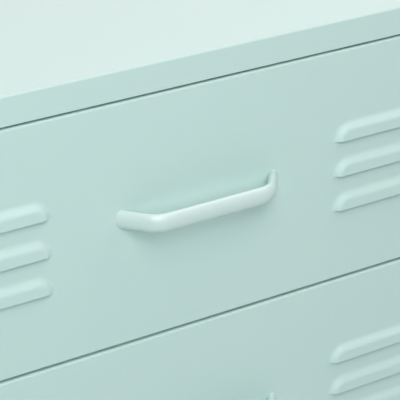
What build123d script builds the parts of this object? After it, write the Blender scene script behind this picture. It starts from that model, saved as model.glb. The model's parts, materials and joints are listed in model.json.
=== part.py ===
from build123d import *
import math
import os

# Steel chest of drawers with louvred fronts, standing on four tapered legs.
# Millimetres. X runs along the width, Y from the front to the back, Z up.
# The origin is on the floor, under the middle of the outer box, handles included.
# Pieces are drawn with Y = 0 on the front plane and moved to that origin when they are saved.

# Carcass
CABINET_WIDTH = 800.0
CABINET_DEPTH = 350.0  # front plane to the heads of the screws in the back panel
TOP_HEIGHT = 23.4
BASE_HEIGHT = 26.0
STILE_WIDTH = 20.0  # upright front edge of each side panel
PAN_RETURN = 25.0  # inward lip of the top and base panels
POST_MARGIN = 9.0  # front post reaches this far behind the crossbars
POST_GRIP = 28.0  # rear post reaches this far along the slides
PANEL_GAP = 0.3  # above and below the back panel
SHEET = 0.8
FOLD_INSIDE = 1.0  # inside radius of every fold
CROSSBAR_HEIGHT = 20.0
CROSSBAR_DEPTH = 16.0
WALL_HOLE_RADIUS = 3.0
WALL_HOLE_SPACING = 600.0
WALL_HOLE_DROP = 60.0  # below the top panel

# Legs
LEG_HEIGHT = 143.2
LEG_INSET = 3.0
LEG_SHEET = 1.5
LEG_ARM_TOP = 55.0
LEG_ARM_FOOT = 26.0
LEG_CORNER_RADIUS = 2.5
GLIDE_PAD = 5.0
GLIDE_SLEEVE = 9.0
GLIDE_WALL = 2.0
GLIDE_CLEARANCE = 0.1
GLIDE_EDGE = 1.0

# Drawers
DRAWER_COUNT = 4
FRONT_HEIGHT = 202.6
FRONT_DEPTH = 18.0
FRONT_GAP = 2.4  # around every drawer front
LIP_CLEARANCE = 1.5  # between the lips of the front and the tray sides
TRAY_LIFT = 5.2  # tray above the lower lip of the front
TRAY_DROP = 28.6  # top of the tray below the top edge of the front
TRAY_SETBACK = 1.0  # rear of the tray ahead of the rear of the slides
TRAY_HEM = 10.0  # along the top of each side
TRAY_FLANGE = 12.0  # at the front of each side and under the floor
TRAY_BACK_FLANGE = 12.0
FLOOR_LIP = 10.0  # turned down behind the front
FLOOR_LIP_CLEARANCE = 0.5  # between the ends of that lip and the flanges of the sides

# Louvres
LOUVRE_ROWS = 3
LOUVRE_LENGTH = 110.0
LOUVRE_HEIGHT = 14.6
LOUVRE_PROUD = 4.0
LOUVRE_SLOPE = 52.0  # degrees between the shoulder and the way the louvre stands out
LOUVRE_PITCH = 30.8
LOUVRE_DROP = 77.8  # open edge of the first louvre below the top edge of the front
LOUVRE_NEAR_END = 132.4  # from the middle of the drawer
LOUVRE_CREST_RADIUS = 5.0
LOUVRE_ROOT_RADIUS = 6.0
LOUVRE_SLIT = 0.3  # cut below the open edge
LOUVRE_MARGIN = 6.0  # flat sheet drawn around one louvre

# Handles
HANDLE_FOOT_SPACING = 142.0  # between the middles of the feet, on the front plane
HANDLE_HOLE_SPACING = 138.0
HANDLE_BAR_SPAN = 104.0  # between the two corners of the bow
HANDLE_REACH = 24.5  # front plane to the middle of the bar
HANDLE_HEIGHT = 15.0
HANDLE_THICKNESS = 8.0
HANDLE_BEND = 20.0
HANDLE_RUN_OUT = 6.0  # leg drawn beyond the front plane before its foot is cut flat
HANDLE_DROP = 94.9  # middle of the handle below the top edge of the front
HANDLE_HOLE_DEPTH = 5.0
HANDLE_HOLE_SPARE = 0.4  # hole beyond the tip of its screw

# Ball slides
SLIDE_SPACE = 12.7  # between post and tray
SLIDE_HALF_HEIGHT = 22.5
SLIDE_SHEET = 1.2
SLIDE_RISE = 60.0  # middle of the slide above the underside of the tray
SLIDE_FRONT_CLEARANCE = 2.0  # behind the drawer front
SLIDE_REAR_CLEARANCE = 27.2  # ahead of the back panel
SLIDE_LIP_CLEARANCE = 0.6
SLIDE_SCREW_EDGE = 12.0
OUTER_BALL_RADIUS = 2.0
INNER_BALL_RADIUS = 1.25
BALL_CLEARANCE = 0.3  # between a ball and its tracks
BALL_SEAT_CLEARANCE = 0.15  # between a ball and its cage
BALLS_PER_ROW = 5
BALL_PITCH = 18.0
CAGE_LENGTH = 100.0
CAGE_SHEET = 0.5
CAGE_CLEARANCE = 0.25
OUTER_CAGE_SETBACK = 115.0  # front of the cage behind the front of the slide
INNER_CAGE_SETBACK = 100.0

# Fasteners
SCREW_RADIUS = 1.75
SCREW_HEAD_RADIUS = 3.5
SCREW_HEAD_HEIGHT = 2.0
SCREW_HEAD_ROUND = 1.2
SCREW_TIP = 4.0  # thread beyond the sheets that it joins
RECESS_LENGTH = 3.6
RECESS_WIDTH = 0.9
RECESS_DEPTH = 1.0
THREAD_CLEARANCE = 0.05
BOLT_RADIUS = 3.0
BOLT_HEAD_ACROSS = 10.0
BOLT_HEAD_HEIGHT = 4.0
NUT_HEIGHT = 5.0
BOLT_EDGE = 18.0  # from the end of the leg's plate to the bolt
BOLT_SETBACK = 9.5  # from the inside of the leg's arm to the bolt
SIDE_SCREW_COUNT = 3  # along each end of a side panel
BACK_SCREW_COUNT = 5  # up each edge of the back panel
BACK_SCREW_EDGE = 30.0

# Derived sizes of the carcass
SCREW_HOLE_RADIUS = SCREW_RADIUS + THREAD_CLEARANCE
BOLT_HOLE_RADIUS = BOLT_RADIUS + THREAD_CLEARANCE
HALF_WIDTH = CABINET_WIDTH / 2
BODY_DEPTH = CABINET_DEPTH - SCREW_HEAD_HEIGHT
SIDE_DEPTH = BODY_DEPTH - SHEET
FOLD = FOLD_INSIDE + SHEET
POST_FACE = HALF_WIDTH - STILE_WIDTH
PITCH = FRONT_HEIGHT + FRONT_GAP
BASE_TOP = LEG_HEIGHT + BASE_HEIGHT
TOP_UNDERSIDE = BASE_TOP + FRONT_GAP + DRAWER_COUNT * PITCH
CABINET_HEIGHT = TOP_UNDERSIDE + TOP_HEIGHT
CROSSBAR_FRONT = FRONT_DEPTH + SLIDE_FRONT_CLEARANCE
POST_DEPTH = CROSSBAR_FRONT + CROSSBAR_DEPTH + POST_MARGIN
SLIDE_FRONT = FRONT_DEPTH + SLIDE_FRONT_CLEARANCE
SLIDE_REAR = SIDE_DEPTH - SLIDE_REAR_CLEARANCE
REAR_POST_FRONT = SLIDE_REAR - POST_GRIP

# Derived sizes of one drawer, from the bottom edge of its front
FRONT_WIDTH = 2 * (POST_FACE - FRONT_GAP)
FRONT_LIP = SLIDE_SPACE - FRONT_GAP - SHEET - LIP_CLEARANCE
TRAY_HALF = POST_FACE - SLIDE_SPACE
TRAY_BOTTOM = SHEET + FRONT_LIP + TRAY_LIFT
TRAY_FLOOR = TRAY_BOTTOM + 2 * SHEET
TRAY_TOP = FRONT_HEIGHT - TRAY_DROP
TRAY_REAR = SLIDE_REAR - TRAY_SETBACK
SLIDE_MIDDLE = TRAY_BOTTOM + SLIDE_RISE
HANDLE_MIDDLE = FRONT_HEIGHT - HANDLE_DROP
HANDLE_PROJECTION = HANDLE_REACH + HANDLE_THICKNESS / 2
FRONT_Y = (HANDLE_PROJECTION - CABINET_DEPTH) / 2

# Derived section of a slide: heights from its middle, distances from the post towards the tray
OUTER_BALL_UP = SLIDE_HALF_HEIGHT - SLIDE_SHEET - BALL_CLEARANCE - OUTER_BALL_RADIUS
MIDDLE_UP = OUTER_BALL_UP - OUTER_BALL_RADIUS - BALL_CLEARANCE
INNER_BALL_UP = MIDDLE_UP - SLIDE_SHEET - BALL_CLEARANCE - INNER_BALL_RADIUS
DRAWER_UP = INNER_BALL_UP - INNER_BALL_RADIUS - BALL_CLEARANCE
OUTER_CAGE_NEAR = SLIDE_SHEET + CAGE_CLEARANCE
MIDDLE_NEAR = OUTER_CAGE_NEAR + CAGE_SHEET + CAGE_CLEARANCE
INNER_CAGE_NEAR = MIDDLE_NEAR + SLIDE_SHEET + CAGE_CLEARANCE
DRAWER_NEAR = INNER_CAGE_NEAR + CAGE_SHEET + CAGE_CLEARANCE
CABINET_FAR = SLIDE_SPACE - SLIDE_SHEET
MIDDLE_FAR = CABINET_FAR - SLIDE_LIP_CLEARANCE
OUTER_CAGE_FAR = CABINET_FAR - SLIDE_SHEET - BALL_CLEARANCE
INNER_CAGE_FAR = MIDDLE_FAR - SLIDE_SHEET - BALL_CLEARANCE
OUTER_BALL_OUT = (MIDDLE_NEAR + CABINET_FAR) / 2
INNER_BALL_OUT = (DRAWER_NEAR + MIDDLE_FAR) / 2
RACE_CLEARANCE = CAGE_SHEET / 2 + BALL_CLEARANCE  # lips and ridges from the height of the balls

LEFT, RIGHT = -1, 1
SIDES = (LEFT, RIGHT)


def block(x_span, y_span, z_span):
    """Box between two values on each axis."""
    spans = (x_span, y_span, z_span)
    middle = [(low + high) / 2 for low, high in spans]
    return Pos(*middle) * Box(*[high - low for low, high in spans])


def group(pieces):
    """One compound with every solid of the pieces."""
    return Compound([solid for piece in pieces for solid in piece.solids()])


def both_sides(piece):
    """A right-hand piece together with its left-hand twin."""
    return group([piece, mirror(piece, about=Plane.YZ)])


def drill(piece, places, radius):
    """The piece with a round hole through its sheet at each place, along the place's Z."""
    reach = 2 * (SHEET + SLIDE_SHEET)
    for place in places:
        piece -= place * Cylinder(radius, 2 * reach)
    return piece


def folded_pan(length, breadth, depth, lip):
    """Shallow pan of folded sheet: face on top at Z = 0, walls below it, lips turned inward."""
    def shell(inset, fold):
        size = (length - 2 * inset, breadth - 2 * inset, depth - 2 * inset)
        body = Pos(0, 0, -depth / 2) * Box(*size)
        body = fillet(body.edges().filter_by(Axis.Z), fold)
        return fillet(body.faces().sort_by(Axis.Z)[-1].edges(), fold)

    inside = SHEET + lip
    mouth = block((inside - length / 2, length / 2 - inside), (inside - breadth / 2, breadth / 2 - inside),
                  (-depth - SHEET, SHEET - depth + FOLD_INSIDE))
    return shell(0, FOLD) - shell(SHEET, FOLD_INSIDE) - mouth


def pan_screw(length):
    """Cross-recessed screw: bearing face of the head at Z = 0, head above, thread below."""
    head = Pos(0, 0, SCREW_HEAD_HEIGHT / 2) * Cylinder(SCREW_HEAD_RADIUS, SCREW_HEAD_HEIGHT)
    head = fillet(head.faces().sort_by(Axis.Z)[-1].edges(), SCREW_HEAD_ROUND)
    recess_middle = SCREW_HEAD_HEIGHT - RECESS_DEPTH / 2
    for turn in (0, 90):
        head -= Pos(0, 0, recess_middle) * Rot(0, 0, turn) * Box(RECESS_LENGTH, RECESS_WIDTH, RECESS_DEPTH)
    return head + Pos(0, 0, -length / 2) * Cylinder(SCREW_RADIUS, length)


def screws(places, length):
    """The same screw at each place."""
    screw = pan_screw(length)
    return [place * screw for place in places]


def drawer_bottom(number):
    """Height of the bottom edge of a drawer front, counted from the top drawer."""
    return BASE_TOP + FRONT_GAP + (DRAWER_COUNT - number) * PITCH


def crossbar_height(number):
    """Height of the middle of a crossbar, behind the gap under the drawer of that number."""
    return drawer_bottom(number) - FRONT_GAP / 2


def pan_screw_places(height, turn):
    """Screws at one end of both side panels; a turn of 180 degrees puts the heads underneath."""
    step = (REAR_POST_FRONT - POST_DEPTH) / SIDE_SCREW_COUNT
    return [Location((side * (HALF_WIDTH - STILE_WIDTH / 2), POST_DEPTH + (index + 0.5) * step, height),
                     (turn, 0, 0))
            for side in SIDES
            for index in range(SIDE_SCREW_COUNT)]


def top_screw_places():
    """Screws from inside the side panels up into the top panel."""
    return pan_screw_places(TOP_UNDERSIDE - SHEET, 180)


def base_screw_places():
    """Screws from inside the side panels down into the base."""
    return pan_screw_places(BASE_TOP + SHEET, 0)


def crossbar_screw_places(number):
    """Screws from inside a crossbar through its end tabs into the front posts."""
    along = CROSSBAR_FRONT + CROSSBAR_DEPTH / 2
    return [Location((side * (POST_FACE - SHEET), along, crossbar_height(number)), (0, -90 * side, 0))
            for side in SIDES]


def slide_screw_places(across, height, rear, turn):
    """Screws near both ends of a pair of slides; a turn of 1 puts the heads on the outer side."""
    return [Location((side * across, along, height), (0, 90 * turn * side, 0))
            for side in SIDES
            for along in (SLIDE_FRONT + SLIDE_SCREW_EDGE, rear - SLIDE_SCREW_EDGE)]


def cabinet_slide_screw_places(bottom):
    """Screws of the cabinet members of the drawer at that height, with the heads inside the posts."""
    return slide_screw_places(POST_FACE + SHEET, bottom + SLIDE_MIDDLE, SLIDE_REAR, 1)


def tray_screw_places():
    """Screws of the drawer members, ahead of the tray back, with the heads inside the tray."""
    return slide_screw_places(TRAY_HALF - SHEET, SLIDE_MIDDLE, TRAY_REAR - TRAY_BACK_FLANGE, -1)


def handle_screw_places():
    """Screws from behind the front into the feet of the handle."""
    return [Location((side * HANDLE_HOLE_SPACING / 2, SHEET, HANDLE_MIDDLE), (-90, 0, 0)) for side in SIDES]


def back_screw_places():
    """Screws up both edges of the back panel."""
    low = BASE_TOP + BACK_SCREW_EDGE
    step = (TOP_UNDERSIDE - BACK_SCREW_EDGE - low) / (BACK_SCREW_COUNT - 1)
    return [Location((side * (HALF_WIDTH - STILE_WIDTH / 2), BODY_DEPTH, low + index * step), (-90, 0, 0))
            for side in SIDES
            for index in range(BACK_SCREW_COUNT)]


def leg_bolt_places():
    """Bolts up through the plates of the legs; the origin is on the underside of the plate."""
    near = LEG_INSET + LEG_SHEET + BOLT_SETBACK
    far = LEG_INSET + LEG_ARM_TOP - BOLT_EDGE
    places = []
    for side in SIDES:
        for across, along in ((near, far), (far, near)):
            for depth in (along, BODY_DEPTH - along):
                places.append(Location((side * (HALF_WIDTH - across), depth, LEG_HEIGHT - LEG_SHEET)))
    return places


def top_panel():
    """Top of the cabinet, a pan with its face up."""
    pan = folded_pan(CABINET_WIDTH, BODY_DEPTH, TOP_HEIGHT, PAN_RETURN)
    pan = Pos(0, BODY_DEPTH / 2, CABINET_HEIGHT) * pan
    return drill(pan, top_screw_places(), SCREW_HOLE_RADIUS)


def base_panel():
    """Base of the cabinet, a pan with its face down."""
    pan = folded_pan(CABINET_WIDTH, BODY_DEPTH, BASE_HEIGHT, PAN_RETURN)
    pan = Pos(0, BODY_DEPTH / 2, LEG_HEIGHT) * Rot(180, 0, 0) * pan
    pan = drill(pan, base_screw_places(), SCREW_HOLE_RADIUS)
    return drill(pan, leg_bolt_places(), BOLT_HOLE_RADIUS)


def side_panel():
    """Right-hand side: an outer wall folded round into a front post and a rear post."""
    def shell(inset, fold):
        body = block((POST_FACE + inset, HALF_WIDTH - inset), (inset, SIDE_DEPTH - inset),
                     (BASE_TOP + inset, TOP_UNDERSIDE - inset))
        return fillet(body.edges().filter_by(Axis.Z), fold)

    mouth = block((POST_FACE - SHEET, POST_FACE + FOLD), (POST_DEPTH, REAR_POST_FRONT),
                  (BASE_TOP + SHEET, TOP_UNDERSIDE - SHEET))
    panel = shell(0, FOLD) - shell(SHEET, FOLD_INSIDE) - mouth
    places = top_screw_places() + base_screw_places() + back_screw_places()
    for number in range(1, DRAWER_COUNT):
        places += crossbar_screw_places(number)
    for number in range(1, DRAWER_COUNT + 1):
        places += cabinet_slide_screw_places(drawer_bottom(number))
    places = [place for place in places if place.position.X > 0]
    return drill(panel, places, SCREW_HOLE_RADIUS)


def back_panel():
    """Plain sheet screwed over the rear of the side panels, with two holes for the wall."""
    panel = block((-HALF_WIDTH, HALF_WIDTH), (SIDE_DEPTH, BODY_DEPTH),
                  (BASE_TOP + PANEL_GAP, TOP_UNDERSIDE - PANEL_GAP))
    panel = drill(panel, back_screw_places(), SCREW_HOLE_RADIUS)
    hole_height = TOP_UNDERSIDE - WALL_HOLE_DROP
    wall_holes = [Location((side * WALL_HOLE_SPACING / 2, BODY_DEPTH, hole_height), (90, 0, 0))
                  for side in SIDES]
    return drill(panel, wall_holes, WALL_HOLE_RADIUS)


def crossbar(number):
    """Channel between the front posts, open to the rear, with a tab at each end."""
    middle = crossbar_height(number)
    half = CROSSBAR_HEIGHT / 2
    rear = CROSSBAR_FRONT + CROSSBAR_DEPTH
    body = block((-POST_FACE, POST_FACE), (CROSSBAR_FRONT, rear), (middle - half, middle + half))
    body = fillet(body.faces().sort_by(Axis.Y)[0].edges().filter_by(Axis.X), FOLD)
    inside = half - SHEET
    hollow = block((SHEET - POST_FACE, POST_FACE - SHEET), (CROSSBAR_FRONT + SHEET, rear + SHEET),
                   (middle - inside, middle + inside))
    hollow = fillet(hollow.faces().sort_by(Axis.Y)[0].edges().filter_by(Axis.X), FOLD_INSIDE)
    return drill(body - hollow, crossbar_screw_places(number), SCREW_HOLE_RADIUS)


def four_corners(piece):
    """A front right-hand piece and its copies: front left, front right, rear left, rear right."""
    left = mirror(piece, about=Plane.YZ)
    middle = Plane.XZ.offset(-BODY_DEPTH / 2)
    return [left, piece, mirror(left, about=middle), mirror(piece, about=middle)]


def leg():
    """Front right-hand leg: a tapered angle under a plate that is bolted to the base."""
    corner = Plane((HALF_WIDTH - LEG_INSET, LEG_INSET, 0), x_dir=(-1, 0, 0), z_dir=(0, 1, 0))
    knee = GLIDE_PAD + GLIDE_SLEEVE
    outline = Polyline((0, GLIDE_PAD), (LEG_ARM_FOOT, GLIDE_PAD), (LEG_ARM_FOOT, knee),
                       (LEG_ARM_TOP, LEG_HEIGHT), (0, LEG_HEIGHT), close=True)
    arm = extrude(corner * make_face(outline), amount=LEG_SHEET)
    angle = arm + mirror(arm, about=Plane(corner.origin, z_dir=(1, 1, 0)))
    edge = corner.origin
    plate = block((edge.X - LEG_ARM_TOP, edge.X), (edge.Y, edge.Y + LEG_ARM_TOP),
                  (LEG_HEIGHT - LEG_SHEET, LEG_HEIGHT))
    body = angle + plate
    outer_edges = body.edges().filter_by(Axis.Z).sort_by(lambda line: (line @ 0.5).Y - (line @ 0.5).X)
    body = fillet(outer_edges[0], LEG_CORNER_RADIUS)
    return drill(body, leg_bolt_places(), BOLT_HOLE_RADIUS)


def glide():
    """Front right-hand glide: a plastic shoe with a groove for the foot of the leg."""
    edge_x = HALF_WIDTH - LEG_INSET
    reach = LEG_ARM_FOOT + GLIDE_WALL
    shoe = block((edge_x - reach, edge_x + GLIDE_WALL), (LEG_INSET - GLIDE_WALL, LEG_INSET + reach),
                 (0, GLIDE_PAD + GLIDE_SLEEVE))
    shoe = fillet(shoe.edges().filter_by(Axis.Z), GLIDE_EDGE)
    shoe = chamfer(shoe.faces().sort_by(Axis.Z)[0].edges(), GLIDE_EDGE / 2)
    long = LEG_ARM_FOOT + GLIDE_CLEARANCE
    thick = LEG_SHEET + GLIDE_CLEARANCE
    for across, along in ((long, thick), (thick, long)):
        shoe -= block((edge_x - across, edge_x + GLIDE_CLEARANCE),
                      (LEG_INSET - GLIDE_CLEARANCE, LEG_INSET + along),
                      (GLIDE_PAD, GLIDE_PAD + 2 * GLIDE_SLEEVE))
    return shoe


def hexagon(height, bore=0.0):
    """Hexagonal prism above Z = 0, with an optional bore."""
    body = extrude(RegularPolygon(BOLT_HEAD_ACROSS / 2, 6, major_radius=False), amount=height)
    return body - Cylinder(bore, 4 * height) if bore else body


def leg_bolts():
    """Hexagon bolts under the plates of the legs, and their nuts on the floor of the base panel."""
    grip = LEG_SHEET + SHEET
    length = grip + NUT_HEIGHT
    bolt = Pos(0, 0, -BOLT_HEAD_HEIGHT) * hexagon(BOLT_HEAD_HEIGHT)
    bolt += Pos(0, 0, length / 2) * Cylinder(BOLT_RADIUS, length)
    nut = Pos(0, 0, grip) * hexagon(NUT_HEIGHT, BOLT_HOLE_RADIUS)
    return group([place * piece for place in leg_bolt_places() for piece in (bolt, nut)])


def carcass_screws():
    """Screws of the top panel, the base, the back panel and the crossbars."""
    places = top_screw_places() + base_screw_places() + back_screw_places()
    for number in range(1, DRAWER_COUNT):
        places += crossbar_screw_places(number)
    return group(screws(places, 2 * SHEET + SCREW_TIP))


def slide_screws():
    """Screws of all the cabinet members."""
    places = []
    for number in range(1, DRAWER_COUNT + 1):
        places += cabinet_slide_screw_places(drawer_bottom(number))
    return group(screws(places, SHEET + SLIDE_SHEET))


def louvre():
    """One louvre on its patch of sheet, and the hollow behind it.

    The sheet's face is Z = 0 and the open lower edge is the X axis.
    """
    slope = math.radians(LOUVRE_SLOPE)
    outline = SlotOverall(LOUVRE_LENGTH, 2 * LOUVRE_HEIGHT)
    hood = extrude(outline, amount=LOUVRE_PROUD, taper=LOUVRE_SLOPE)
    half_length = LOUVRE_LENGTH / 2 + LOUVRE_MARGIN
    half_height = LOUVRE_HEIGHT + LOUVRE_MARGIN
    sheet = block((-half_length, half_length), (-half_height, half_height), (-SHEET, 0))
    crest = hood.faces().sort_by(Axis.Z)[-1].edges()
    hood = sheet + fillet(crest, LOUVRE_CREST_RADIUS)
    face = hood.faces().filter_by(Plane.XY).sort_by(Axis.Z)[-2]
    hood = fillet(face.inner_wires()[0].edges(), LOUVRE_ROOT_RADIUS)
    hood -= block((-half_length, half_length), (-half_height, 0), (0, 2 * LOUVRE_PROUD))

    inset = SHEET * (1 - math.sin(slope)) / math.cos(slope)
    outline = Pos(0, 0, -SHEET) * SlotOverall(LOUVRE_LENGTH - 2 * inset, 2 * (LOUVRE_HEIGHT - inset))
    hollow = extrude(outline, amount=LOUVRE_PROUD, taper=LOUVRE_SLOPE)
    hollow &= block((-half_length, half_length), (-LOUVRE_SLIT, half_height), (-2 * SHEET, LOUVRE_PROUD))
    return hood, hollow


def louvre_places():
    """Places of the louvres on the face of a drawer front, from the middle of the face."""
    across = LOUVRE_NEAR_END + LOUVRE_LENGTH / 2
    return [Pos(side * across, FRONT_HEIGHT / 2 - LOUVRE_DROP - row * LOUVRE_PITCH, 0)
            for side in SIDES
            for row in range(LOUVRE_ROWS)]


def drawer_front():
    """Drawer front: a pan with pressed louvres and two holes for the handle."""
    face = folded_pan(FRONT_WIDTH, FRONT_HEIGHT, FRONT_DEPTH, FRONT_LIP)
    hood, hollow = louvre()
    face += [place * hood for place in louvre_places()]
    face -= [place * hollow for place in louvre_places()]
    front = Pos(0, 0, FRONT_HEIGHT / 2) * Rot(90, 0, 0) * face
    return drill(front, handle_screw_places(), SCREW_HOLE_RADIUS)


def tray_side():
    """Right-hand side of a drawer: a wall with a hem on top and flanges at the front and under the floor."""
    def shell(inset, reach, fold):
        body = block((TRAY_HALF - reach, TRAY_HALF - inset), (SHEET + inset, TRAY_REAR + inset),
                     (TRAY_BOTTOM + inset, TRAY_TOP - inset))
        edges = body.faces().sort_by(Axis.X)[-1].edges()
        return fillet(edges.sort_by(Axis.Y)[:-1], fold)

    mouth = block((TRAY_HALF - 2 * TRAY_FLANGE, TRAY_HALF - TRAY_HEM), (0, TRAY_REAR + SHEET),
                  (TRAY_TOP - SHEET, TRAY_TOP + SHEET))
    side = shell(0, TRAY_FLANGE, FOLD) - shell(SHEET, 2 * TRAY_FLANGE, FOLD_INSIDE) - mouth
    return drill(side, [place for place in tray_screw_places() if place.position.X > 0], SCREW_HOLE_RADIUS)


def tray_floor():
    """Floor of a drawer, on the flanges of the sides, with a lip turned down behind the front."""
    lip_half = TRAY_HALF - TRAY_FLANGE - FLOOR_LIP_CLEARANCE

    def shell(inset, fold):
        body = block((-lip_half, lip_half), (SHEET + inset, TRAY_REAR + inset),
                     (TRAY_FLOOR - FLOOR_LIP, TRAY_FLOOR - inset))
        return fillet(body.faces().sort_by(Axis.Y)[0].edges().sort_by(Axis.Z)[-1], fold)

    floor = shell(0, FOLD) - shell(SHEET, FOLD_INSIDE)
    for side in SIDES:
        ends = sorted((side * lip_half, side * (TRAY_HALF - FOLD)))
        floor += block(ends, (2 * SHEET, TRAY_REAR), (TRAY_FLOOR - SHEET, TRAY_FLOOR))
    return floor


def tray_back():
    """Back of a drawer: a pan between the sides, on the floor and under the hems."""
    top = TRAY_TOP - SHEET
    pan = folded_pan(2 * (TRAY_HALF - SHEET), top - TRAY_FLOOR, TRAY_BACK_FLANGE, 0)
    return Pos(0, TRAY_REAR, (top + TRAY_FLOOR) / 2) * Rot(-90, 0, 0) * pan


def handle():
    """Bow handle: an oval bar on two slanting legs, with the feet cut flat."""
    foot = HANDLE_FOOT_SPACING / 2
    corner = HANDLE_BAR_SPAN / 2
    slant = (foot - corner) / HANDLE_REACH
    tip = foot + slant * HANDLE_RUN_OUT
    path = FilletPolyline((-tip, HANDLE_RUN_OUT), (-corner, -HANDLE_REACH),
                          (corner, -HANDLE_REACH), (tip, HANDLE_RUN_OUT), radius=HANDLE_BEND)
    section = Plane((-tip, HANDLE_RUN_OUT, 0), x_dir=(1, slant, 0), z_dir=(slant, -1, 0)) * Ellipse(
        HANDLE_THICKNESS / 2, HANDLE_HEIGHT / 2)
    bow = sweep(section, path=path)
    bow -= block((-2 * foot, 2 * foot), (0, 4 * HANDLE_RUN_OUT), (-HANDLE_HEIGHT, HANDLE_HEIGHT))
    for side in SIDES:
        hole = Cylinder(SCREW_HOLE_RADIUS, 2 * HANDLE_HOLE_DEPTH)
        bow -= Location((side * HANDLE_HOLE_SPACING / 2, 0, 0), (90, 0, 0)) * hole
    return Pos(0, 0, HANDLE_MIDDLE) * bow


def drawer_screws():
    """Screws of the handle and of the drawer members."""
    return group(screws(handle_screw_places(), SHEET + HANDLE_HOLE_DEPTH - HANDLE_HOLE_SPARE)
                 + screws(tray_screw_places(), SHEET + SLIDE_SHEET))


def rail(strips, front, rear):
    """Right-hand rail: the strips of its section and their twins below the middle of the slide.

    Each strip gives its distances from the post and its heights above the middle.
    """
    body = Part()
    for (near, far), (low, high) in strips:
        for span in ((low, high), (-high, -low)):
            body += block((POST_FACE - far, POST_FACE - near), (front, rear), span)
    return Pos(0, 0, SLIDE_MIDDLE) * body


def cabinet_slide():
    """Outer channel of a slide, against the post."""
    lip = OUTER_BALL_UP + RACE_CLEARANCE
    return rail([((0, SLIDE_SHEET), (0, SLIDE_HALF_HEIGHT)),
                 ((0, CABINET_FAR), (SLIDE_HALF_HEIGHT - SLIDE_SHEET, SLIDE_HALF_HEIGHT)),
                 ((CABINET_FAR - SLIDE_SHEET, CABINET_FAR), (lip, SLIDE_HALF_HEIGHT))],
                SLIDE_FRONT, SLIDE_REAR)


def middle_slide():
    """Middle channel of a slide, between its two rows of balls."""
    ridge = OUTER_BALL_UP - RACE_CLEARANCE
    lip = INNER_BALL_UP + RACE_CLEARANCE
    return rail([((MIDDLE_NEAR, MIDDLE_NEAR + SLIDE_SHEET), (0, ridge)),
                 ((MIDDLE_NEAR, MIDDLE_FAR), (MIDDLE_UP - SLIDE_SHEET, MIDDLE_UP)),
                 ((MIDDLE_FAR - SLIDE_SHEET, MIDDLE_FAR), (lip, MIDDLE_UP))],
                SLIDE_FRONT, SLIDE_REAR)


def drawer_slide():
    """Inner channel of a slide, against the tray."""
    ridge = INNER_BALL_UP - RACE_CLEARANCE
    return rail([((CABINET_FAR, SLIDE_SPACE), (0, DRAWER_UP)),
                 ((DRAWER_NEAR, SLIDE_SPACE), (DRAWER_UP - SLIDE_SHEET, DRAWER_UP)),
                 ((DRAWER_NEAR, DRAWER_NEAR + SLIDE_SHEET), (DRAWER_UP - SLIDE_SHEET, ridge))],
                SLIDE_FRONT, SLIDE_REAR)


def ball_cage(near, far, ball_out, ball_up, ball_radius, setback):
    """Right-hand cage with a row of balls in each of its two strips."""
    front = SLIDE_FRONT + setback
    strip = (ball_up - CAGE_SHEET / 2, ball_up + CAGE_SHEET / 2)
    cage = rail([((near, near + CAGE_SHEET), (0, strip[1])), ((near, far), strip)],
                front, front + CAGE_LENGTH)
    first = front + (CAGE_LENGTH - (BALLS_PER_ROW - 1) * BALL_PITCH) / 2
    balls = []
    for index in range(BALLS_PER_ROW):
        for up in (ball_up, -ball_up):
            place = Pos(POST_FACE - ball_out, first + index * BALL_PITCH, SLIDE_MIDDLE + up)
            cage -= place * Cylinder(ball_radius + BALL_SEAT_CLEARANCE, 4 * CAGE_SHEET)
            balls.append(place * Sphere(ball_radius))
    return group([cage] + balls)


def cabinet_slides():
    """Both cabinet members of a drawer, drilled for their screws."""
    return both_sides(drill(cabinet_slide(), cabinet_slide_screw_places(0), SCREW_HOLE_RADIUS))


def drawer_slides():
    """Both drawer members of a drawer, drilled for their screws."""
    return both_sides(drill(drawer_slide(), tray_screw_places(), SCREW_HOLE_RADIUS))


def cabinet_pieces():
    """Every piece of the carcass by name, apart from the slides."""
    legs = four_corners(leg())
    right_side = side_panel()
    pieces = {
        "top_panel": top_panel(),
        "base_panel": base_panel(),
        "left_side_panel": mirror(right_side, about=Plane.YZ),
        "right_side_panel": right_side,
        "back_panel": back_panel(),
        "leg_glides": group(four_corners(glide())),
        "leg_bolts": leg_bolts(),
        "carcass_screws": carcass_screws(),
        "slide_screws": slide_screws(),
    }
    for number in range(1, DRAWER_COUNT):
        pieces[f"crossbar_{number}"] = crossbar(number)
    for name, piece in zip(("front_left", "front_right", "rear_left", "rear_right"), legs):
        pieces[f"{name}_leg"] = piece
    return pieces


def drawer_pieces():
    """Every piece that one drawer has, from the bottom edge of its front."""
    outer_cage = ball_cage(OUTER_CAGE_NEAR, OUTER_CAGE_FAR, OUTER_BALL_OUT, OUTER_BALL_UP, OUTER_BALL_RADIUS,
                           OUTER_CAGE_SETBACK)
    inner_cage = ball_cage(INNER_CAGE_NEAR, INNER_CAGE_FAR, INNER_BALL_OUT, INNER_BALL_UP, INNER_BALL_RADIUS,
                           INNER_CAGE_SETBACK)
    return {
        "front": drawer_front(),
        "floor": tray_floor(),
        "sides": both_sides(tray_side()),
        "back": tray_back(),
        "handle": handle(),
        "screws": drawer_screws(),
        "cabinet_slides": cabinet_slides(),
        "middle_slides": both_sides(middle_slide()),
        "drawer_slides": drawer_slides(),
        "outer_ball_cages": both_sides(outer_cage),
        "inner_ball_cages": both_sides(inner_cage),
    }


def save(name, piece, height=0.0):
    """Write one piece to its file, in the cabinet's own frame."""
    export_step(Pos(0, FRONT_Y, height) * piece, f"parts/{name}.step")


def main():
    """Build every piece once and write it, with one set of drawer pieces for each drawer."""
    os.makedirs("parts", exist_ok=True)
    for name, piece in cabinet_pieces().items():
        save(name, piece)
    for name, piece in drawer_pieces().items():
        for number in range(1, DRAWER_COUNT + 1):
            save(f"drawer_{number}_{name}", piece, drawer_bottom(number))


main()
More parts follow.
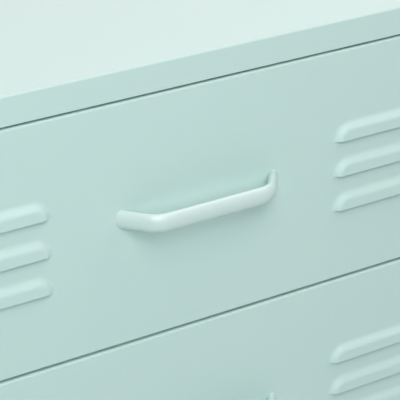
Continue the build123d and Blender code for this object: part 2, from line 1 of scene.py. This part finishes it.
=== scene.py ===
"""Looks of a painted steel drawer cabinet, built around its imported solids.

Every length is in metres, in the frame of the solids: X along the width, Y from front to back and
Z up.
"""
import json
import logging
import math
from collections.abc import Iterable, Sequence
from dataclasses import dataclass
from enum import Enum

import bmesh
import bpy
from mathutils import Matrix, Vector


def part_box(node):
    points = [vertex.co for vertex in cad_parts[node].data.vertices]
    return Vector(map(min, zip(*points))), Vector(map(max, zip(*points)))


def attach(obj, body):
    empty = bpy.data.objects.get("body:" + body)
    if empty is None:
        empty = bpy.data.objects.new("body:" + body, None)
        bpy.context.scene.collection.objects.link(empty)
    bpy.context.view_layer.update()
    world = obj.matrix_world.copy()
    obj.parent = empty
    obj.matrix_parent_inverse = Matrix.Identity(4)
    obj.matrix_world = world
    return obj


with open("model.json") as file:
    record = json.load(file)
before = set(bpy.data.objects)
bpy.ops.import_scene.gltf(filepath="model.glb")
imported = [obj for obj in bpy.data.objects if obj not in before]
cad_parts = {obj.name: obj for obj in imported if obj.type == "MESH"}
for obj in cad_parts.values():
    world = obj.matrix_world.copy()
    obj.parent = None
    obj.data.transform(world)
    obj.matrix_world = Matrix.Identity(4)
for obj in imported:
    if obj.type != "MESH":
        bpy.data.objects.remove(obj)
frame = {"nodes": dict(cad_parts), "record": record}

LOG = logging.getLogger("drawer_cabinet")
MM = 0.001
DRAWERS = (1, 2, 3, 4)
SIDES = (-1, 1)
CARCASS_BODY = "carcass"
SHEET = 0.8 * MM  # thickness of the sheet that the drawers are folded from
FRONT_GAP = 2.4 * MM  # between the top panel's fascia and the first drawer front
BEAD_ROUNDING = 0.95  # share of a bead's height
ROUND_STEPS = 4  # faces across a rounded edge
ROUND_PROFILE = 0.5  # a round arc
SHARP_ANGLE = math.radians(40)  # edges that turn further are shaded sharp

Colour = tuple[float, float, float]
Place = tuple[float, float, float]
Range = tuple[float, float]
Socket = bpy.types.NodeSocket

FULL_RANGE: Range = (0.0, 1.0)
CLOUD_RANGE: Range = (0.3, 0.7)  # where nearly all of a cloudy pattern lies


class Slot(Enum):
    """Material slots of the record."""

    COAT = "mint_coat"
    SLIDES = "zinc_slides"
    FASTENERS = "zinc_fasteners"
    GLIDES = "glide_plastic"


class Facing(Enum):
    """Ways that a small piece can stand out of a surface."""

    FRONT = Matrix.Rotation(math.radians(90), 4, "X")
    BACK = Matrix.Rotation(math.radians(-90), 4, "X")
    UP = Matrix.Identity(4)
    RIGHT = Matrix.Rotation(math.radians(90), 4, "Y")
    LEFT = Matrix.Rotation(math.radians(-90), 4, "Y")


@dataclass(frozen=True)
class Cloud:
    """Numbers of a cloudy pattern.

    Attributes:
        scale: Patches in a metre.
        detail: Octaves of finer patches.
        weight: Weight of the finer patches.
    """

    scale: float
    detail: float
    weight: float = 0.5


@dataclass(frozen=True)
class Relief:
    """Numbers of a surface relief.

    Attributes:
        depth: Real height of the relief.
        strength: Share of the relief that shows.
    """

    depth: float
    strength: float


class ShaderTree:
    """Node tree of one material, with a short call for each kind of node that the finishes use."""

    def __init__(self, name: str) -> None:
        """Start a material with one principled shader.

        Args:
            name: Name of the material.
        """
        self.material = bpy.data.materials.new(name)
        self.material.use_nodes = True
        self.nodes = self.material.node_tree.nodes
        self.links = self.material.node_tree.links
        self.shader = self.nodes["Principled BSDF"]
        self.place = self.nodes.new("ShaderNodeTexCoord").outputs["Object"]

    def set(self, **values: float) -> None:
        """Set sockets of the shader that are the same all over.

        Args:
            values: Socket names, with underscores for blanks, and their values.
        """
        for name, value in values.items():
            self.shader.inputs[name.replace("_", " ")].default_value = value

    def feed(self, name: str, output: Socket) -> None:
        """Link an output to a socket of the shader."""
        self.links.new(output, self.shader.inputs[name])

    def stretched(self, scale: Sequence[float]) -> Socket:
        """Object coordinates stretched for a pattern with a direction.

        Args:
            scale: Factor along each axis.

        Returns:
            The stretched coordinates.
        """
        node = self.nodes.new("ShaderNodeMapping")
        self.links.new(self.place, node.inputs["Vector"])
        node.inputs["Scale"].default_value = scale
        return node.outputs["Vector"]

    def noise(self, cloud: Cloud, place: Socket | None = None) -> Socket:
        """Cloudy pattern.

        Args:
            cloud: Size and weight of its patches.
            place: Coordinates, where they aren't the plain object coordinates.

        Returns:
            The pattern, from 0 to 1.
        """
        node = self.nodes.new("ShaderNodeTexNoise")
        self.links.new(place or self.place, node.inputs["Vector"])
        node.inputs["Scale"].default_value = cloud.scale
        node.inputs["Detail"].default_value = cloud.detail
        node.inputs["Roughness"].default_value = cloud.weight
        return node.outputs["Fac"]

    def cells(self, scale: float) -> Socket:
        """Crystal pattern of flat cells.

        Args:
            scale: Cells in a metre.

        Returns:
            The colour of each cell.
        """
        node = self.nodes.new("ShaderNodeTexVoronoi")
        self.links.new(self.place, node.inputs["Vector"])
        node.inputs["Scale"].default_value = scale
        return node.outputs["Color"]

    def spread(self, pattern: Socket, source: Range, target: Range) -> Socket:
        """Pattern moved from one range to another.

        Args:
            pattern: What is moved.
            source: Low and high value that it has.
            target: Low and high value that it gets.

        Returns:
            The moved pattern.
        """
        node = self.nodes.new("ShaderNodeMapRange")
        self.links.new(pattern, node.inputs["Value"])
        node.inputs["From Min"].default_value, node.inputs["From Max"].default_value = source
        node.inputs["To Min"].default_value, node.inputs["To Max"].default_value = target
        return node.outputs["Result"]

    def mix(self, share: Socket, first: Colour, second: Colour) -> Socket:
        """Blend of two colours.

        Args:
            share: Share of the second colour.
            first: Colour at a share of 0.
            second: Colour at a share of 1.

        Returns:
            The blended colour.
        """
        node = self.nodes.new("ShaderNodeMix")
        node.data_type = "RGBA"
        self.links.new(share, node.inputs["Factor"])
        colours = {"A": first, "B": second}
        for socket in node.inputs:
            if socket.type == "RGBA" and socket.name in colours:
                socket.default_value = (*colours[socket.name], 1.0)
        return next(socket for socket in node.outputs if socket.type == "RGBA")

    def bump(self, pattern: Socket, relief: Relief, under: Socket | None = None) -> Socket:
        """Surface relief from a pattern.

        Args:
            pattern: Height, from 0 to 1.
            relief: Height of the relief and how much of it shows.
            under: Relief that this one lies on.

        Returns:
            The bent normal.
        """
        node = self.nodes.new("ShaderNodeBump")
        self.links.new(pattern, node.inputs["Height"])
        node.inputs["Distance"].default_value = relief.depth
        node.inputs["Strength"].default_value = relief.strength
        if under:
            self.links.new(under, node.inputs["Normal"])
        return node.outputs["Normal"]


@dataclass(frozen=True)
class PowderCoat:
    """Powder coat: an even colour over a faint orange peel and a fine powder grain.

    Attributes:
        name: Name of the material.
        satin: Lowest and highest roughness.
        gloss_level: Level of the reflection at the surface.
        colour: Main colour.
        shade: Colour that the main colour drifts to.
        drift: Wide patches of the drift.
        peel: Pattern of the orange peel.
        peel_relief: Height of the orange peel.
        grain: Pattern of the powder grain.
        grain_relief: Height of the powder grain.
    """

    name: str
    satin: Range
    gloss_level: float
    colour: Colour = (0.495, 0.672, 0.637)
    shade: Colour = (0.479, 0.658, 0.622)
    drift: Cloud = Cloud(scale=2.5, detail=3)
    peel: Cloud = Cloud(scale=380.0, detail=2, weight=0.45)
    peel_relief: Relief = Relief(depth=0.10 * MM, strength=0.35)
    grain: Cloud = Cloud(scale=2400.0, detail=2, weight=0.6)
    grain_relief: Relief = Relief(depth=0.015 * MM, strength=0.3)

    def material(self) -> bpy.types.Material:
        """Make the material.

        Returns:
            The finished material.
        """
        tree = ShaderTree(self.name)
        drift = tree.spread(tree.noise(self.drift), CLOUD_RANGE, FULL_RANGE)
        grain = tree.noise(self.grain)
        tree.feed("Base Color", tree.mix(drift, self.colour, self.shade))
        tree.feed("Roughness", tree.spread(grain, CLOUD_RANGE, self.satin))
        peel = tree.bump(tree.noise(self.peel), self.peel_relief)
        tree.feed("Normal", tree.bump(grain, self.grain_relief, peel))
        tree.set(Specular_IOR_Level=self.gloss_level)
        return tree.material


@dataclass(frozen=True)
class RolledZinc:
    """Zinc on rolled strip: bright, with draw lines along the slide and faint crystals.

    Attributes:
        colour: Colour of the bright crystals.
        shade: Colour of the dull crystals.
        gloss: Lowest and highest roughness.
        crystal_scale: Crystals in a metre.
        crystal_share: Least and most of the dull colour.
        lines: Pattern of the draw lines.
        line_stretch: Patches of that pattern in a metre along each axis.
        line_relief: Height of the draw lines.
    """

    colour: Colour = (0.60, 0.62, 0.64)
    shade: Colour = (0.46, 0.48, 0.50)
    gloss: Range = (0.26, 0.46)
    crystal_scale: float = 140.0
    crystal_share: Range = (0.0, 0.6)
    lines: Cloud = Cloud(scale=1.0, detail=3, weight=0.6)
    line_stretch: tuple[float, float, float] = (900.0, 9.0, 900.0)
    line_relief: Relief = Relief(depth=0.03 * MM, strength=0.4)

    def material(self) -> bpy.types.Material:
        """Make the material.

        Returns:
            The finished material.
        """
        tree = ShaderTree("rolled_zinc")
        lines = tree.noise(self.lines, tree.stretched(self.line_stretch))
        crystals = tree.spread(tree.cells(self.crystal_scale), FULL_RANGE, self.crystal_share)
        tree.feed("Base Color", tree.mix(crystals, self.colour, self.shade))
        tree.feed("Roughness", tree.spread(lines, CLOUD_RANGE, self.gloss))
        tree.feed("Normal", tree.bump(lines, self.line_relief))
        tree.set(Metallic=1.0)
        return tree.material


@dataclass(frozen=True)
class PlatedSteel:
    """Plated fasteners: a cool grey with a cloudy film and fine tool marks.

    Attributes:
        colour: Colour of the plating.
        film_colour: Colour of the film.
        gloss: Lowest and highest roughness.
        film: Pattern of the film.
        film_range: Part of that pattern over which the film comes in.
        film_share: Least and most of the film's colour.
        marks: Pattern of the tool marks.
        mark_relief: Height of the tool marks.
    """

    colour: Colour = (0.64, 0.66, 0.67)
    film_colour: Colour = (0.54, 0.53, 0.47)
    gloss: Range = (0.22, 0.40)
    film: Cloud = Cloud(scale=260.0, detail=3)
    film_range: Range = (0.4, 0.8)
    film_share: Range = (0.0, 0.7)
    marks: Cloud = Cloud(scale=3200.0, detail=3, weight=0.65)
    mark_relief: Relief = Relief(depth=0.02 * MM, strength=0.4)

    def material(self) -> bpy.types.Material:
        """Make the material.

        Returns:
            The finished material.
        """
        tree = ShaderTree("plated_steel")
        film = tree.spread(tree.noise(self.film), self.film_range, self.film_share)
        marks = tree.noise(self.marks)
        tree.feed("Base Color", tree.mix(film, self.colour, self.film_colour))
        tree.feed("Roughness", tree.spread(marks, CLOUD_RANGE, self.gloss))
        tree.feed("Normal", tree.bump(marks, self.mark_relief))
        tree.set(Metallic=1.0)
        return tree.material


@dataclass(frozen=True)
class MouldedPlastic:
    """Moulded plastic or rubber with a spark-eroded grain and paler scuffs.

    Attributes:
        name: Name of the material.
        colour: Colour of the fresh surface.
        scuffed: Colour of the scuffs.
        gloss: Lowest and highest roughness.
        grain: Pattern of the grain.
        grain_relief: Height of the grain.
        scuffs: Pattern of the scuffs.
        scuff_range: Part of that pattern over which a scuff comes in.
        scuff_share: Least and most of the scuffed colour.
    """

    name: str
    colour: Colour
    scuffed: Colour
    gloss: Range = (0.48, 0.66)
    grain: Cloud = Cloud(scale=1500.0, detail=3, weight=0.6)
    grain_relief: Relief = Relief(depth=0.06 * MM, strength=0.5)
    scuffs: Cloud = Cloud(scale=90.0, detail=4, weight=0.6)
    scuff_range: Range = (0.5, 0.8)
    scuff_share: Range = (0.0, 0.6)

    def material(self) -> bpy.types.Material:
        """Make the material.

        Returns:
            The finished material.
        """
        tree = ShaderTree(self.name)
        grain = tree.noise(self.grain)
        scuffs = tree.spread(tree.noise(self.scuffs), self.scuff_range, self.scuff_share)
        tree.feed("Base Color", tree.mix(scuffs, self.colour, self.scuffed))
        tree.feed("Roughness", tree.spread(grain, CLOUD_RANGE, self.gloss))
        tree.feed("Normal", tree.bump(grain, self.grain_relief))
        return tree.material


class Finishes:
    """One material of each kind, shared by all the pieces that have it."""

    def __init__(self) -> None:
        """Make the materials."""
        self.coat = PowderCoat("mint_sheet_coat", satin=(0.55, 0.65), gloss_level=0.5).material()
        # The handle coat is paler than the sheet coat: painted sheen that stands in for the
        # highlights on the handle.
        self.paler_handle_coat_painted_sheen = PowderCoat(
            "mint_handle_coat_painted_sheen", satin=(0.34, 0.44), gloss_level=0.9,
            colour=(0.530, 0.680, 0.648), shade=(0.514, 0.666, 0.633)).material()
        self.zinc = RolledZinc().material()
        self.plated = PlatedSteel().material()
        self.glide = MouldedPlastic(
            "glide_plastic", colour=(0.035, 0.038, 0.038), scuffed=(0.075, 0.078, 0.075)).material()
        self.rubber = MouldedPlastic(
            "bumper_rubber", colour=(0.30, 0.31, 0.31), scuffed=(0.36, 0.37, 0.36)).material()

    def of_slot(self, slot: str) -> bpy.types.Material:
        """Material of a slot of the record.

        Args:
            slot: Name of the slot.

        Returns:
            Its material.
        """
        return {Slot.COAT: self.coat, Slot.SLIDES: self.zinc, Slot.FASTENERS: self.plated,
                Slot.GLIDES: self.glide}[Slot(slot)]

    def dress_solids(self) -> None:
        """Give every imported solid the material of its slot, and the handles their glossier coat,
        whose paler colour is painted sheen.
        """
        for row in frame["record"]["subparts"]:
            name = row["node"]
            materials = frame["nodes"][name].data.materials
            materials.clear()
            materials.append(self.paler_handle_coat_painted_sheen if name.endswith("_handle")
                             else self.of_slot(row["material_slot"]))
            LOG.info("dressed %s", name)


class Shape:
    """Mesh under construction, from bmesh operators, that becomes one piece."""

    def __init__(self) -> None:
        """Start with nothing."""
        self.mesh = bmesh.new()

    @staticmethod
    def edges_of(verts: Iterable[bmesh.types.BMVert]) -> list[bmesh.types.BMEdge]:
        """Edges of some vertices, each once and in an order that is the same on each run."""
        return list(dict.fromkeys(edge for vert in verts for edge in vert.link_edges))

    def move(self, verts: Iterable[bmesh.types.BMVert], facing: Facing,
             place: Sequence[float]) -> None:
        """Turn new vertices to face a way and put them in place.

        Args:
            verts: The vertices of one shape, each once.
            facing: Way that its Z axis goes.
            place: Where its origin goes.
        """
        matrix = Matrix.Translation(place) @ facing.value
        bmesh.ops.transform(self.mesh, matrix=matrix, verts=list(verts))

    def button(self, radius: float, height: float, sides: int, facing: Facing,
               place: Sequence[float]) -> None:
        """Round button, standing on its place, with the upper half of its wall rounded over.

        Args:
            radius: Radius of the button.
            height: Height of the button.
            sides: Sides of the circle.
            facing: Way that the top faces.
            place: Middle of its underside.
        """
        half = height / 2
        verts = bmesh.ops.create_cone(
            self.mesh, cap_ends=True, segments=sides, radius1=radius, radius2=radius,
            depth=height, matrix=Matrix.Translation((0, 0, half)))["verts"]
        rim = [edge for edge in self.edges_of(verts)
               if all(vert.co.z > half for vert in edge.verts)]
        done = bmesh.ops.bevel(
            self.mesh, geom=rim, offset=half, segments=ROUND_STEPS, profile=ROUND_PROFILE,
            affect="EDGES", material=-1)
        self.move({*(vert for vert in verts if vert.is_valid), *done["verts"]}, facing, place)

    def slab(self, size: Sequence[float], rounding: float, facing: Facing,
             place: Sequence[float]) -> None:
        """Block with every edge rounded except those of its underside.

        Args:
            size: Length, breadth and height.
            rounding: Radius of the edges.
            facing: Way that the top faces.
            place: Middle of its underside.
        """
        half = size[2] / 2
        matrix = Matrix.Translation((0, 0, half)) @ Matrix.Diagonal((*size, 1))
        verts = bmesh.ops.create_cube(self.mesh, size=1, matrix=matrix)["verts"]
        edges = [edge for edge in self.edges_of(verts)
                 if any(vert.co.z > half for vert in edge.verts)]
        done = bmesh.ops.bevel(
            self.mesh, geom=edges, offset=rounding, segments=ROUND_STEPS, profile=ROUND_PROFILE,
            affect="EDGES", material=-1, clamp_overlap=True)
        self.move({*(vert for vert in verts if vert.is_valid), *done["verts"]}, facing, place)

    def finish(self, name: str, material: bpy.types.Material, body: str) -> None:
        """Make the piece and let it ride on a body.

        Args:
            name: Name of the piece.
            material: Its finish.
            body: Body that it moves with.
        """
        bmesh.ops.recalc_face_normals(self.mesh, faces=self.mesh.faces)
        data = bpy.data.meshes.new(name)
        self.mesh.to_mesh(data)
        self.mesh.free()
        data.materials.append(material)
        data.shade_smooth()
        data.set_sharp_from_angle(angle=SHARP_ANGLE)
        piece = bpy.data.objects.new(name, data)
        bpy.context.scene.collection.objects.link(piece)
        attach(piece, body)
        LOG.info("made %s with %d faces", name, len(data.polygons))


def spaced(low: float, high: float, count: int) -> list[float]:
    """Middles of the equal parts of a length.

    Args:
        low: Where the length starts.
        high: Where it ends.
        count: Number of parts.

    Returns:
        The middle of each part.
    """
    return [low + (index + 0.5) / count * (high - low) for index in range(count)]


@dataclass
class Carcass:
    """Details of the fixed cabinet: buffers behind the drawer fronts and beads on the back.

    Attributes:
        finishes: Materials of the pieces.
        buffer_radius: Radius of a buffer.
        buffer_height: Height of a buffer above the crossbar.
        buffer_sides: Sides of a buffer's circle.
        buffer_inset: From the end of the crossbar to a buffer's middle.
        buffer_offset: From the middle line of the crossbar, up or down, to a buffer's middle.
        bead_width: Width of a bead.
        bead_height: Height of a bead above the panel.
        bead_margin: From the edge of the panel to a bead's end.
        bead_spacing: Between the middles of the two beads.
    """

    finishes: Finishes
    buffer_radius: float = 4.0 * MM
    buffer_height: float = 1.7 * MM
    buffer_sides: int = 28
    buffer_inset: float = 40.0 * MM
    buffer_offset: float = 5.6 * MM
    bead_width: float = 16.0 * MM
    bead_height: float = 1.4 * MM
    bead_margin: float = 120.0 * MM
    bead_spacing: float = 250.0 * MM

    def build(self) -> None:
        """Make every detail of the carcass."""
        for number in DRAWERS[:-1]:
            self.buffers(number)
        self.back_beads()

    def buffers(self, number: int) -> None:
        """Rubber buttons on a crossbar, for the lips of the drawer fronts above and below it.

        Args:
            number: Number of the crossbar.
        """
        low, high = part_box(f"crossbar_{number}")
        middle = (low.z + high.z) / 2
        shape = Shape()
        for side in SIDES:
            for level in SIDES:
                place = (side * (high.x - self.buffer_inset), low.y,
                         middle + level * self.buffer_offset)
                shape.button(self.buffer_radius, self.buffer_height, self.buffer_sides,
                             Facing.FRONT, place)
        shape.finish(f"crossbar_{number}_buffers", self.finishes.rubber, CARCASS_BODY)

    def back_beads(self) -> None:
        """Pressed stiffening beads that run up the back panel."""
        low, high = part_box("back_panel")
        size = (self.bead_width, high.z - low.z - 2 * self.bead_margin, self.bead_height)
        shape = Shape()
        for side in SIDES:
            place = (side * self.bead_spacing / 2, high.y, (low.z + high.z) / 2)
            shape.slab(size, self.bead_height * BEAD_ROUNDING, Facing.BACK, place)
        shape.finish("back_panel_beads", self.finishes.coat, CARCASS_BODY)


@dataclass
class Drawer:
    """Details of one drawer: weld marks, floor beads and the stops of its slides.

    Attributes:
        finishes: Materials of the pieces.
        number: Number of the drawer, from the top.
        weld_radius: Radius of a weld mark.
        weld_height: Height of a weld mark above the sheet.
        weld_sides: Sides of a weld mark's circle.
        weld_edge: From the outer edge of the sheet to a weld mark's middle.
        weld_rows: Weld marks up each flange.
        weld_columns: Weld marks along each edge of the floor.
        bead_count: Beads on the floor.
        bead_width: Width of a bead.
        bead_height: Height of a bead above the floor.
        bead_margin: From the edge of the floor to a bead's end.
        stop_depth: Depth of a stop, from front to back.
        stop_gap: Between the slide and its stop.
        stop_overlap: How far a stop reaches in past the outer face of the drawer's member.
        stop_rounding: Radius of a stop's edges.
    """

    finishes: Finishes
    number: int
    weld_radius: float = 3.0 * MM
    weld_height: float = 0.18 * MM
    weld_sides: int = 16
    weld_edge: float = 6.0 * MM
    weld_rows: int = 5
    weld_columns: int = 6
    bead_count: int = 5
    bead_width: float = 14.0 * MM
    bead_height: float = 1.6 * MM
    bead_margin: float = 36.0 * MM
    stop_depth: float = 3.5 * MM
    stop_gap: float = 0.3 * MM
    stop_overlap: float = 4.0 * MM
    stop_rounding: float = 0.8 * MM

    @property
    def body(self) -> str:
        """Name of the drawer's body, which also starts the names of its solids and pieces."""
        return f"drawer_{self.number}"

    def build(self) -> None:
        """Make every detail of the drawer."""
        self.weld_marks()
        self.floor_beads()
        self.slide_stops()

    def node(self, part: str) -> tuple[Vector, Vector]:
        """Box of one of the drawer's solids.

        Args:
            part: Name of the solid without the drawer's number.

        Returns:
            Its lowest and highest corner.
        """
        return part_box(f"{self.body}_{part}")

    def weld_marks(self) -> None:
        """Spot welds of the tray, as one piece."""
        shape = Shape()
        self.side_welds(shape)
        self.back_welds(shape)
        self.floor_welds(shape)
        shape.finish(f"{self.body}_weld_marks", self.finishes.coat, self.body)

    def weld(self, shape: Shape, facing: Facing, place: Sequence[float]) -> None:
        """Add one spot weld.

        Args:
            shape: Mesh that it is added to.
            facing: Way that it faces.
            place: Its middle, on the sheet.
        """
        shape.button(self.weld_radius, self.weld_height, self.weld_sides, facing, place)

    def side_welds(self, shape: Shape) -> None:
        """Spot welds on the front flanges of the sides.

        Args:
            shape: Mesh that they are added to.
        """
        low, high = self.node("sides")
        for level in spaced(low.z, high.z, self.weld_rows):
            for side in SIDES:
                place = (side * (high.x - self.weld_edge), low.y + SHEET, level)
                self.weld(shape, Facing.BACK, place)

    def back_welds(self, shape: Shape) -> None:
        """Spot welds on the side flanges of the tray back, seen from inside the tray.

        Args:
            shape: Mesh that they are added to.
        """
        low, high = self.node("back")
        along = (low.y + high.y) / 2
        for level in spaced(low.z, high.z, self.weld_rows):
            self.weld(shape, Facing.LEFT, (high.x - SHEET, along, level))
            self.weld(shape, Facing.RIGHT, (low.x + SHEET, along, level))

    def floor_welds(self, shape: Shape) -> None:
        """Spot welds along both edges of the floor, over the flanges of the sides.

        Args:
            shape: Mesh that they are added to.
        """
        low, high = self.node("floor")
        for along in spaced(low.y, high.y, self.weld_columns):
            for side in SIDES:
                self.weld(shape, Facing.UP, (side * (high.x - self.weld_edge), along, high.z))

    def floor_beads(self) -> None:
        """Pressed beads that run from front to back along the floor."""
        low, high = self.node("floor")
        size = (self.bead_width, high.y - low.y - 2 * self.bead_margin, self.bead_height)
        step = (high.x - low.x) / (self.bead_count + 1)
        shape = Shape()
        for index in range(self.bead_count):
            place = (low.x + (index + 1) * step, (low.y + high.y) / 2, high.z)
            shape.slab(size, self.bead_height * BEAD_ROUNDING, Facing.UP, place)
        shape.finish(f"{self.body}_floor_beads", self.finishes.coat, self.body)

    def slide_stops(self) -> None:
        """Plastic stops behind the rear ends of the slides, fixed to the carcass."""
        low, high = self.node("cabinet_slides")
        width = high.x - self.node("drawer_slides")[1].x + self.stop_overlap
        size = (width, high.z - low.z, self.stop_depth)
        shape = Shape()
        for side in SIDES:
            place = (side * (high.x - width / 2), high.y + self.stop_gap, (low.z + high.z) / 2)
            shape.slab(size, self.stop_rounding, Facing.BACK, place)
        shape.finish(f"{self.body}_slide_stops", self.finishes.glide, CARCASS_BODY)


@dataclass(frozen=True)
class Lamp:
    """Square soft lamp that faces a point.

    Attributes:
        name: Name of the lamp.
        place: Where it hangs.
        target: Point that it faces.
        size: Length of its sides.
        power: Its power, in watts.
        colour: Colour of its light.
    """

    name: str
    place: Place
    target: Place
    size: float
    power: float
    colour: Colour

    def build(self) -> None:
        """Hang the lamp in the scene."""
        data = bpy.data.lights.new(self.name, "AREA")
        data.shape = "SQUARE"
        data.size = self.size
        data.energy = self.power
        data.color = self.colour
        lamp = bpy.data.objects.new(self.name, data)
        lamp.location = self.place
        aim = Vector(self.target) - Vector(self.place)
        lamp.rotation_euler = aim.to_track_quat("-Z", "Y").to_euler()
        bpy.context.scene.collection.objects.link(lamp)


def seen_share(tree: bpy.types.NodeTree) -> Socket:
    """Share of a surface or sky that is only looked at, straight, in a reflection or through glass.

    Args:
        tree: Node tree that gets the nodes.

    Returns:
        1 for rays that look, 0 for light that falls on other surfaces.
    """
    rays = tree.nodes.new("ShaderNodeLightPath")
    share = rays.outputs["Is Camera Ray"]
    for kind in ("Is Glossy Ray", "Is Transmission Ray"):
        both = tree.nodes.new("ShaderNodeMath")
        both.use_clamp = True
        tree.links.new(share, both.inputs[0])
        tree.links.new(rays.outputs[kind], both.inputs[1])
        share = both.outputs[0]
    return share


def blend_into(tree: bpy.types.NodeTree, share: Socket, lit: bpy.types.Node,
               backdrop: bpy.types.Node, output: str) -> None:
    """Blend a lit shader into a backdrop and link the blend to the tree's output.

    Args:
        tree: Node tree of both.
        share: Share of the backdrop.
        lit: Shader at a share of 0.
        backdrop: Shader at a share of 1.
        output: Name of the tree's output node.
    """
    blend = tree.nodes.new("ShaderNodeMixShader")
    for source, socket in zip((share, lit.outputs[0], backdrop.outputs[0]), blend.inputs):
        tree.links.new(source, socket)
    tree.links.new(blend.outputs[0], tree.nodes[output].inputs["Surface"])


@dataclass
class Studio:
    """Plain pale floor, soft light and the camera of the photograph.

    Attributes:
        lamps: The lamps.
        floor_size: Length of the floor's sides.
        floor_colour: Main colour of the floor.
        floor_dimming: Share of that colour in the floor's darker patches.
        floor_tone: Pattern of the patches.
        floor_roughness: Roughness of the floor.
        floor_fade: Distances from the origin at which the backdrop comes in and is all there is.
        sky_colour: Colour of the light from all round.
        sky_strength: Strength of that light.
        backdrop_colour: Colour of the backdrop.
        azimuth: Turn of the camera about the cabinet, from straight in front, in degrees.
        elevation: Angle by which the camera looks down, in degrees.
        roll: Turn of the camera about its line of sight, in degrees.
        lens: Focal length, in millimetres.
        sensor_width: Width of the camera's sensor, in millimetres.
        camera_from_gap: From the middle of the gap under the top to the camera.
    """

    lamps: tuple[Lamp, ...] = (
        Lamp("key_light", place=(-0.55, -1.50, 2.50), target=(0.0, -0.16, 0.85),
             size=1.1, power=19.4, colour=(1.0, 0.88, 0.887)),
        Lamp("front_light", place=(-0.90, -2.20, 2.10), target=(0.0, -0.16, 0.85),
             size=1.6, power=32.5, colour=(0.945, 0.993, 1.0)),
        Lamp("top_light", place=(1.10, -0.40, 2.80), target=(0.0, -0.10, 0.90),
             size=1.6, power=22.8, colour=(1.0, 0.855, 0.865)),
        Lamp("back_light", place=(1.30, 2.20, 2.00), target=(0.0, 0.0, 1.0),
             size=2.4, power=39.8, colour=(1.0, 0.88, 0.888)),
        Lamp("left_light", place=(-2.60, 0.10, 0.90), target=(0.0, 0.05, 0.55),
             size=1.4, power=10.0, colour=(1.0, 0.95, 0.94)),
    )
    floor_size: float = 9.0
    floor_colour: Colour = (0.71, 0.79, 0.78)
    floor_dimming: float = 0.97
    floor_tone: Cloud = Cloud(scale=3.0, detail=3)
    floor_roughness: float = 0.85
    floor_fade: Range = (0.9, 3.2)
    sky_colour: Colour = (0.921, 0.989, 1.0)
    sky_strength: float = 0.223
    backdrop_colour: Colour = (0.74, 0.72, 0.72)
    azimuth: float = -32.843
    elevation: float = 23.844
    roll: float = 0.631
    lens: float = 168.55
    sensor_width: float = 36.0
    camera_from_gap: Place = (-0.729, -1.1311, 0.497)

    def build(self) -> None:
        """Set up the floor, the light and the camera."""
        self.floor()
        self.sky()
        for lamp in self.lamps:
            lamp.build()
        self.camera()
        bpy.context.scene.view_settings.view_transform = "Standard"

    def floor(self) -> None:
        """Pale floor with a faint cloudy tone, which runs into the backdrop further out."""
        tree = ShaderTree("studio_floor")
        tone = tree.spread(tree.noise(self.floor_tone), CLOUD_RANGE, FULL_RANGE)
        dimmed = tuple(self.floor_dimming * part for part in self.floor_colour)
        tree.feed("Base Color", tree.mix(tone, self.floor_colour, dimmed))
        tree.set(Roughness=self.floor_roughness)
        self.fade(tree)
        shape = bmesh.new()
        bmesh.ops.create_grid(shape, x_segments=2, y_segments=2, size=self.floor_size / 2)
        data = bpy.data.meshes.new("studio_floor")
        shape.to_mesh(data)
        shape.free()
        data.materials.append(tree.material)
        piece = bpy.data.objects.new("studio_floor", data)
        bpy.context.scene.collection.objects.link(piece)

    def fade(self, tree: ShaderTree) -> None:
        """Blend the floor's far part into the backdrop, where it is only looked at.

        Args:
            tree: Node tree of the floor.
        """
        reach = tree.nodes.new("ShaderNodeVectorMath")
        reach.operation = "LENGTH"
        tree.links.new(tree.place, reach.inputs[0])
        far = tree.spread(reach.outputs["Value"], self.floor_fade, FULL_RANGE)
        share = tree.nodes.new("ShaderNodeMath")
        share.operation = "MULTIPLY"
        tree.links.new(far, share.inputs[0])
        tree.links.new(seen_share(tree.material.node_tree), share.inputs[1])
        backdrop = tree.nodes.new("ShaderNodeEmission")
        backdrop.inputs["Color"].default_value = (*self.backdrop_colour, 1.0)
        blend_into(tree.material.node_tree, share.outputs[0], tree.shader, backdrop,
                   "Material Output")

    def sky(self) -> None:
        """Even light from all round, where the camera and reflections see a pale backdrop."""
        world = bpy.data.worlds.new("studio_sky")
        world.use_nodes = True
        tree = world.node_tree
        light = tree.nodes["Background"]
        light.inputs["Color"].default_value = (*self.sky_colour, 1.0)
        light.inputs["Strength"].default_value = self.sky_strength
        backdrop = tree.nodes.new("ShaderNodeBackground")
        backdrop.inputs["Color"].default_value = (*self.backdrop_colour, 1.0)
        blend_into(tree, seen_share(tree), light, backdrop, "World Output")
        bpy.context.scene.world = world

    def camera(self) -> None:
        """Camera at the photograph's place, aimed by its azimuth, elevation and roll."""
        turn, lift, roll = map(math.radians, (self.azimuth, self.elevation, self.roll))
        back = Vector((math.sin(turn) * math.cos(lift), -math.cos(turn) * math.cos(lift),
                       math.sin(lift)))
        level = (-back).cross(Vector((0, 0, 1))).normalized()
        down = (-back).cross(level)
        right = math.cos(roll) * level + math.sin(roll) * down
        gap = Vector((0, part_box("top_panel")[0].y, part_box("drawer_1_front")[1].z + FRONT_GAP / 2))
        data = bpy.data.cameras.new("photo_camera")
        data.lens = self.lens
        data.sensor_width = self.sensor_width
        camera = bpy.data.objects.new("photo_camera", data)
        turned = Matrix((right, back.cross(right), back)).transposed().to_4x4()
        camera.matrix_world = Matrix.Translation(gap + Vector(self.camera_from_gap)) @ turned
        bpy.context.scene.collection.objects.link(camera)
        bpy.context.scene.camera = camera


def main() -> None:
    """Build every sub-assembly in order."""
    logging.basicConfig(level=logging.INFO, format="%(name)s: %(message)s")
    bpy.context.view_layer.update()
    finishes = Finishes()
    finishes.dress_solids()
    Carcass(finishes).build()
    for number in DRAWERS:
        Drawer(finishes, number).build()
    Studio().build()


if __name__ == "__main__":
    main()
